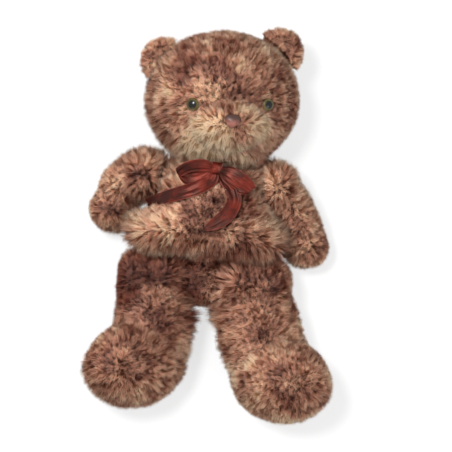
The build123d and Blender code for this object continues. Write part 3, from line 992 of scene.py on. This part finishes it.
# Each limb's paleness at its joint, and what is added toward its foot, or all over an arm.
PALENESS = {
    "left_arm": (0.0, 0.52),
    "right_arm": (0.0, 0.4),
    # Painted light: the left leg's paleness is raised all over, to lighten its thigh top in the belly's
    # shade.
    "left_leg": (0.34, 0.14),
    "right_leg": (0.06, 0.26),
}
# How much shorter the pile of a foot is than its leg's.
FOOT_TRIM = {"left_leg": 0.18}


def tell_limb(body):
    """Tells an arm or a leg about its pile."""
    is_leg = "leg" in body
    low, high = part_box(body + "_cover")
    centre = (low + high) / 2
    start = Vector(joints[body.replace("arm", "shoulder").replace("leg", "hip")]["pos_m"])

    def length(point):
        inward = (centre.x - point.x) / (centre.x - low.x) * math.copysign(1, centre.x)
        by_hip = near(point, [start], 34, 50) if is_leg else 0
        at_foot = fade(start.y - point.y, 80 * MM, 115 * MM) if is_leg else 0
        trim = FOOT_TRIM.get(body, 0) * at_foot
        return 0.85 + 0.4 * inward * (1 - 1.4 * at_foot) + 0.4 * by_hip - trim

    def paleness(point):
        down = fade(start.y - point.y, 20 * MM, 90 * MM) if is_leg else 1
        return PALENESS[body][0] + PALENESS[body][1] * down

    tell(body, skins[body], length, paleness)


for body in PALENESS:
    tell_limb(body)
for side in SIDES:
    tell("ear", ears[side], lambda point: EAR_LENGTH, lambda point: EAR_PALENESS)

# %% [markdown]
# ## Attributes and dice for the growth
#
# Geometry Nodes grow the pile. What the skins were told reaches them as named attributes, and
# each throw of their dice has a salt of its own, so that leaning, turning, length and tone
# vary apart from each other.

# %% Growth graph
SEED_STRIDE = 31


class Growth(Graph):
    """The node graph that grows one piece of pile on a skin."""

    def __init__(self, seed):
        super().__init__(bpy.data.node_groups.new("pile_growth", "GeometryNodeTree"))
        self.seed = seed
        for way in ("INPUT", "OUTPUT"):
            self.tree.interface.new_socket("Geometry", in_out=way, socket_type="NodeSocketGeometry")

    def stored(self, name, kind="FLOAT"):
        return self.node("GeometryNodeInputNamedAttribute", {"data_type": kind}, {"Name": name})[0]

    def stored_vector(self, name):
        return self.stored(name, "FLOAT_VECTOR")

    def store(self, geometry, name, kind, domain, value):
        settings = {"data_type": kind, "domain": domain}
        values = {"Geometry": geometry, "Name": name, "Value": value}
        return self.node("GeometryNodeStoreNamedAttribute", settings, values)[0]

    def dice(self, low, high, salt):
        values = {2: low, 3: high, "Seed": self.seed * SEED_STRIDE + salt}
        return self.node("FunctionNodeRandomValue", {"data_type": "FLOAT"}, values)[1]

    def vector_dice(self, reach, salt):
        values = {0: (-reach,) * 3, 1: (reach,) * 3, "Seed": self.seed * SEED_STRIDE + salt}
        return self.node("FunctionNodeRandomValue", {"data_type": "FLOAT_VECTOR"}, values)[0]

    def combined(self, x, y, z=0.0):
        return self.node("ShaderNodeCombineXYZ", {}, {0: x, 1: y, 2: z})[0]


print("a growth graph can do:", [name for name in vars(Growth) if not name.startswith("_")])

# %% [markdown]
# ## Scattering the tufts
#
# Each tuft stands on the skin and leans a little at random, as shaggy pile does when it is
# fluffed up. It is turned at random about its own length, and stretched to the pile's length
# there. It also learns its root, its tone and the middle of the clump it belongs to: the
# clumps are the cells of a Voronoi texture. All of that is stored before the tufts become
# real mesh, because then one tuft can no longer be told from the next.

# %% Scatter the tufts
LEAN_REACH = 0.3
SHORTEST_TUFT = 0.75
LONGEST_TUFT = 1.15
CLUMP_SIZE = 3.2 * MM
CLUMP_TONE = 0.2
TUFT_TONE = 0.14


def scattered(graph, skin, share):
    """The skin's tufts as real hairs, from a share of its growth."""
    values = {"Mesh": skin, "Density": graph.stored("growth") * share, "Seed": graph.seed}
    points, normal, _ = graph.node("GeometryNodeDistributePointsOnFaces", {}, values)
    points = graph.store(points, "skin_normal", "FLOAT_VECTOR", "POINT", normal)

    lean = graph.vector_dice(LEAN_REACH, salt=1)
    way = graph.stored_vector("skin_normal").vector("ADD", lean).vector("NORMALIZE")
    leaned = graph.node("FunctionNodeAlignRotationToVector", {"axis": "Z"}, {"Vector": way})[0]
    angle = graph.dice(0, 2 * math.pi, salt=2)
    spin = graph.node("FunctionNodeAxisAngleToRotation", {}, {"Axis": (0, 0, 1), "Angle": angle})[0]
    values = {"Rotation": leaned, "Rotate By": spin}
    turned = graph.node("FunctionNodeRotateRotation", {"rotation_space": "LOCAL"}, values)[0]
    height = graph.stored("length") * graph.dice(SHORTEST_TUFT, LONGEST_TUFT, salt=3)
    size = graph.combined(MM, MM, height)
    shape = graph.node("GeometryNodeObjectInfo", {}, {"Object": tuft_shape})[-1]
    values = {"Points": points, "Instance": shape, "Rotation": turned, "Scale": size}
    tufts = graph.node("GeometryNodeInstanceOnPoints", {}, values)[0]

    root = graph.node("GeometryNodeInputPosition", {}, {})[0]
    values = {"Vector": root.scaled(1 / CLUMP_SIZE), "Scale": 1.0}
    colour, middle = graph.node("ShaderNodeTexVoronoi", {}, values)[1:3]
    clump_tone = (colour.split()[0] - 0.5) * CLUMP_TONE
    tone = graph.stored("paleness") + clump_tone + graph.dice(-TUFT_TONE, TUFT_TONE, salt=4)
    tufts = graph.store(tufts, "root", "FLOAT_VECTOR", "INSTANCE", root)
    tufts = graph.store(tufts, "clump", "FLOAT_VECTOR", "INSTANCE", middle.scaled(CLUMP_SIZE))
    tufts = graph.store(tufts, "tone", "FLOAT", "INSTANCE", tone)
    return graph.node("GeometryNodeRealizeInstances", {}, {"Geometry": tufts})[0]


# %% [markdown]
# ## Clumping the hairs
#
# Hairs that stand near each other cling together, as on a shaggy plush: each is drawn along
# the skin to the middle of its clump, and more so toward its tip. The lowest points are kept
# just above the floor.

# %% Clump the hairs
CLUMP_PULL = 0.16
PULL_CURVE = 1.5
FLOOR_GAP = 0.6 * MM


def clumped(graph, hairs):
    """The hairs drawn together at their tips, and lifted off the floor."""
    normal = graph.stored_vector("skin_normal")
    pull = graph.stored_vector("clump").vector("SUBTRACT", graph.stored_vector("root"))
    pull = pull.vector("SUBTRACT", normal.scaled(pull.vector("DOT_PRODUCT", normal)))
    pull = pull.scaled(graph.stored("along") ** PULL_CURVE * CLUMP_PULL)
    hairs = graph.node("GeometryNodeSetPosition", {}, {"Geometry": hairs, "Offset": pull})[0]
    x, y, z = graph.node("GeometryNodeInputPosition", {}, {})[0].split()
    place = graph.combined(x, y, z.math("MAXIMUM", z, FLOOR_GAP))
    return graph.node("GeometryNodeSetPosition", {}, {"Geometry": hairs, "Position": place})[0]


# %% [markdown]
# ## What a hair shows
#
# A hair's finish depends on two numbers only: how pale it is and how far along it a point
# lies. Those two also make its texture coordinates, so every hair finds its colours on one
# small palette. The two edges of a hair lie a little apart there, because a face needs some
# area on it. The normals follow the skin more than the hair, so a tuft catches light as one.

# %% Shade the hairs
HAIR_TONE_AND_GLINT = 0.2
PALETTE_MARGIN = 0.04
PALETTE_SPAN = 1 - 2 * PALETTE_MARGIN
EDGE_STEP = 0.006
OWN_NORMAL_SHARE = 0.25
WORKING_ATTRIBUTES = ("length", "growth", "paleness", "skin_normal", "root", "clump", "tone",
                      "own_tone", "edge")


def shaded(graph, hairs):
    """The hairs with their shade, palette places and normals, and nothing else stored."""
    # Each hair's own tone is spread wide, partly its real tone and partly painted glints: single hairs
    # painted lighter or darker.
    shade = (graph.stored("tone") + graph.stored("own_tone") * HAIR_TONE_AND_GLINT).clamped()
    hairs = graph.store(hairs, "shade", "FLOAT", "POINT", shade)
    by_shade = PALETTE_MARGIN + PALETTE_SPAN * graph.stored("shade") + graph.stored("edge") * EDGE_STEP
    palette = graph.combined(by_shade, PALETTE_MARGIN + PALETTE_SPAN * graph.stored("along"))
    hairs = graph.store(hairs, "OFBake", "FLOAT2", "CORNER", palette)
    own_share = graph.node("GeometryNodeInputNormal", {}, {})[0].scaled(OWN_NORMAL_SHARE)
    facing = graph.stored_vector("skin_normal").vector("ADD", own_share).vector("NORMALIZE")
    settings = {"mode": "FREE", "domain": "POINT"}
    values = {"Mesh": hairs, "Custom Normal": facing}
    hairs = graph.node("GeometryNodeSetMeshNormal", settings, values)[0]
    for name in WORKING_ATTRIBUTES:
        hairs = graph.node("GeometryNodeRemoveAttribute", {}, {"Geometry": hairs, "Name": name})[0]
    return hairs


# %% [markdown]
# ## The colours of the pile
#
# On tipped plush the ends of the hairs are paler than their roots. Each hair is dark at its
# root, brown along its body and light at its tip, and a paler hair is lighter in all three.

# %% Finish the pile and the skins
pile_finish = Finish("tipped_pile", Roughness=0.6)
along = pile_finish.attribute("along")
shade = pile_finish.attribute("shade")
rubbed = shade.ramp(0.6, 0.95)
root_colour = pile_finish.mix(shade, rgb(76, 43, 33), rgb(160, 104, 80))
root_colour = pile_finish.mix(rubbed, root_colour, rgb(246, 196, 156))
body_colour = pile_finish.mix(shade.ramp(-0.1, 0.75), rgb(106, 56, 43), rgb(236, 156, 120))
body_colour = pile_finish.mix(rubbed, body_colour, rgb(255, 217, 176))
tip_colour = pile_finish.mix(shade, rgb(168, 92, 66), rgb(255, 236, 204))
hair_colour = pile_finish.mix(along.ramp(0.1, 0.55), root_colour, body_colour)
hair_colour = pile_finish.mix(along.ramp(0.5, 0.95), hair_colour, tip_colour)
pile_finish.set("Base Color", hair_colour)

skin_finish = Finish("knitted_backing", Roughness=0.9)
weave = skin_finish.noise(900.0)
skin_finish.set("Base Color", skin_finish.mix(weave, rgb(44, 22, 16), rgb(74, 42, 31)))
print("finishes:", pile_finish.material.name, skin_finish.material.name)

# %% [markdown]
# ## Growing the pile
#
# The large bodies grow their pile in two or three passes with different seeds, each a piece
# of its own with its share of the tufts, so that no piece is huge. The skins get their dark
# backing last: it only shows between the hairs.

# %% Grow the pile
PASSES = {"head": 3, "torso": 3, "left_arm": 1, "right_arm": 1, "left_leg": 2, "right_leg": 2}


def growth_tree(seed, share):
    """A node group that grows a share of a skin's pile."""
    graph = Growth(seed)
    skin = graph.node("NodeGroupInput", {}, {})[0]
    hairs = shaded(graph, clumped(graph, scattered(graph, skin, share)))
    graph.node("NodeGroupOutput", {}, {0: hairs})
    return graph.tree


def grow(body, skin, passes):
    """Pile on a skin, as one piece for each pass."""
    stem = skin.name.replace("_skin", "")
    for number in range(passes):
        pile = bpy.data.objects.new(f"{stem}_pile_{number + 1}", skin.data)
        scene.collection.objects.link(pile)
        seed = len(bpy.data.objects) + number
        growth = pile.modifiers.new("growth", "NODES")
        growth.node_group = growth_tree(seed, 1 / passes)
        settle(pile)
        pile.data.materials.clear()
        pile.data.materials.append(pile_finish.material)
        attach(pile, body)
        print(pile.name, triangles(pile), "triangles")


for body, passes in PASSES.items():
    grow(body, skins[body], passes)
for side in SIDES:
    grow("head", ears[side], 1)
for skin in (*skins.values(), *ears.values()):
    skin.data.materials.append(skin_finish.material)

# %% [markdown]
# ## Eyes
#
# The eyes are moulded safety eyes: a clear dome over a black pupil, with a thin olive ring
# painted round it. The CAD lens keeps its shape, and the painted colours are worked out from
# how far a point is from the middle of its eye. Behind it the shank is moulded in black.

# %% Finish the eyes
PUPIL_RADIUS = 5.0 * MM
PUPIL_BLUR = 0.2 * MM
RIM_START = 6.3 * MM
RIM_END = 6.9 * MM


def dress(nodes, finish):
    """Gives CAD nodes one finish."""
    for name in nodes:
        mesh = frame["nodes"][name].data
        mesh.materials.clear()
        mesh.materials.append(finish.material)
    print(finish.material.name, "on", len(nodes), "nodes")


for side, centre in zip(SIDES, eye_places):
    eye = Finish(side + "_eye", Roughness=0.3, Specular_IOR_Level=0.1, Coat_Roughness=0.03, IOR=1.5)
    eye.set("Coat Weight", 0.5)
    out = eye.place().vector("SUBTRACT", tuple(centre)).vector("LENGTH")
    past_pupil = out.ramp(PUPIL_RADIUS - PUPIL_BLUR, PUPIL_RADIUS + PUPIL_BLUR)
    iris = eye.mix(eye.noise(900.0), rgb(50, 46, 16), rgb(98, 86, 34))
    painted = eye.mix(past_pupil, rgb(6, 5, 5), iris)
    eye.set("Base Color", eye.mix(out.ramp(RIM_START, RIM_END), painted, rgb(20, 16, 8)))
    dress([side + "_eye_lens"], eye)

black = Finish("black_moulding", Roughness=0.3)
black.set("Base Color", black.mix(black.noise(400.0), rgb(12, 11, 11), rgb(24, 22, 21)))
dress([side + "_eye_shank" for side in SIDES], black)

# %% [markdown]
# ## Nose
#
# The nose is a small brown moulding, wider at the top, with two shallow nostrils. Its lower
# half is painted lighter and pinker than its dark top, a painted sheen. It is a ball scaled
# to the nose's three radii and cut flat behind, then tapered and dented point by point, and
# set upright on the muzzle.

# %% Make the nose
NOSE_RADII = (8.6, 7.2, 6.5)
NOSE_TAPER = 0.35
NOSE_BACK = -2.5
NOSE_SUNK = 2
NOSTRIL = Vector((4.6, -1.6, 4.6))
NOSTRIL_RADIUS = 2.4
NOSTRIL_DEPTH = 1.6

nose_finish = Finish("brown_moulding", Roughness=0.42)
# Painted sheen: the nose's lower half is painted lighter and pinker than its dark top.
above_painted_sheen = nose_finish.place().split()[1].ramp(nose_place.y - 4 * MM, nose_place.y + 3 * MM)
mottle = nose_finish.noise(500.0)
nose_brown_and_sheen = nose_finish.mix(above_painted_sheen, rgb(150, 92, 80), rgb(58, 34, 27))
nose_finish.set("Base Color", nose_finish.mix(mottle * 0.35, nose_brown_and_sheen, rgb(88, 50, 40)))
nose_finish.bump(mottle, 0.15 * MM, 0.5)

bm = bmesh.new()
bmesh.ops.create_uvsphere(bm, u_segments=48, v_segments=32, radius=1.0)
bmesh.ops.scale(bm, vec=NOSE_RADII, verts=bm.verts)
whole = bm.verts[:] + bm.edges[:] + bm.faces[:]
bmesh.ops.bisect_plane(bm, geom=whole, plane_co=(0, 0, NOSE_BACK), plane_no=(0, 0, -1), clear_outer=True)
bmesh.ops.holes_fill(bm, edges=[edge for edge in bm.edges if edge.is_boundary], sides=0)
for vert in bm.verts:
    vert.co.x *= 1 + NOSE_TAPER * vert.co.y / NOSE_RADII[1]
    for side in (1, -1):
        out = (vert.co - Vector((NOSTRIL.x * side, NOSTRIL.y, NOSTRIL.z))).length
        vert.co.z -= NOSTRIL_DEPTH * (1 - fade(out, 0, NOSTRIL_RADIUS))

muzzle_normal = skins["head"].closest_point_on_mesh(nose_place)[2]
sideways = Vector((0, 1, 0)).cross(muzzle_normal).normalized()
upright = Matrix((sideways, muzzle_normal.cross(sideways), muzzle_normal)).transposed().to_4x4()
seat = Matrix.Translation(nose_place - muzzle_normal * NOSE_SUNK * MM)
bmesh.ops.transform(bm, matrix=seat @ upright @ Matrix.Scale(MM, 4), verts=bm.verts)
nose = piece("nose_moulding", bm, "head")
nose.data.shade_smooth()
nose.data.materials.append(nose_finish.material)
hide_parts("nose")
print(nose.name, len(nose.data.polygons), "faces")

# %% [markdown]
# ## Joints and stuffing
#
# These are hidden inside the bear, but they are real parts too. The joint discs are natural
# polyethylene, milky and slightly clouded. The lock rings and washers are pressed steel with
# a thin zinc plating, and the stuffing is polyester fibre. The few CAD nodes that are left
# are all replaced by new pieces, and they take the fibre's finish.

# %% Finish the joints and the stuffing
plastic = Finish("natural_polyethylene", Roughness=0.45, Subsurface_Weight=0.1)
plastic.set("Base Color", plastic.mix(plastic.noise(90.0), rgb(226, 224, 214), rgb(206, 203, 192)))
plastic.bump(plastic.noise(600.0), 0.05 * MM, 0.4)
dress([name for name in frame["nodes"] if name.endswith("_disc")], plastic)

steel = Finish("zinc_plated_steel", Metallic=1.0)
scratches = steel.noise(1500.0)
steel.set("Base Color", steel.mix(scratches, rgb(176, 178, 180), rgb(206, 208, 210)))
steel.set("Roughness", scratches * 0.25 + 0.25)
dress([name for name in frame["nodes"] if name.endswith(("_lock_ring", "_washer"))], steel)

fibre = Finish("polyester_fibre", Roughness=0.95)
wool = fibre.noise(250.0, 5.0)
fibre.set("Base Color", fibre.mix(wool, rgb(214, 210, 202), rgb(244, 242, 238)))
fibre.bump(wool, 1.5 * MM, 0.6)
dress([name for name in frame["nodes"] if name.endswith("_filling")], fibre)
dress([name for name, node in frame["nodes"].items() if not node.data.materials], fibre)

# %% [markdown]
# ## End
